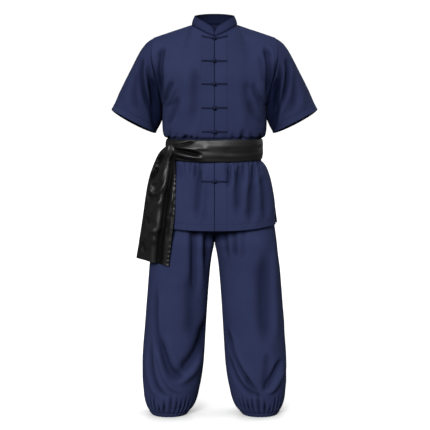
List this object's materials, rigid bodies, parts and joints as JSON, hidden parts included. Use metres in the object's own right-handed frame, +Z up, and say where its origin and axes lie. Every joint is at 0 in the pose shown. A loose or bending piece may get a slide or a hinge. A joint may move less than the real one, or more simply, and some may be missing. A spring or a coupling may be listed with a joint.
{
  "type": "tai chi uniform",
  "caption": "Hollow worn-form uniform: short-sleeved stand-collar jacket with knotted frogs, long trousers gathered at the ankles, and a tied satin sash with a hanging end.",
  "frame": {"origin": "centre of the neck opening, at the height of the tops of the shoulders, where the wearer carries the garment", "axes": "+X towards the wearer's left, -Y the front, +Z up"},
  "size_m": [0.731, 0.2582, 1.4387],
  "materials": {
    "navy_cloth": "smooth twill with a faint sheen",
    "navy_cord": "bias-cut cloth cord, knotted and sewn flat",
    "black_satin": "glossy satin"
  },
  "bodies": {
    "root": {"jacket_front_left": "navy_cloth", "jacket_front_right": "navy_cloth", "jacket_back": "navy_cloth", "sleeve_left": "navy_cloth", "sleeve_right": "navy_cloth", "collar": "navy_cloth", "trouser_leg_left": "navy_cloth", "trouser_leg_right": "navy_cloth", "cuff_left": "navy_cloth", "cuff_right": "navy_cloth", "waistband": "navy_cloth", "sash_wrap": "black_satin", "sash_tail": "black_satin", "sash_knot": "black_satin", "frog_1_knot": "navy_cord", "frog_1_loop": "navy_cord", "frog_2_knot": "navy_cord", "frog_2_loop": "navy_cord", "frog_3_knot": "navy_cord", "frog_3_loop": "navy_cord", "frog_4_knot": "navy_cord", "frog_4_loop": "navy_cord", "frog_5_knot": "navy_cord", "frog_5_loop": "navy_cord", "frog_6_knot": "navy_cord", "frog_6_loop": "navy_cord"}
  },
  "joints": []
}
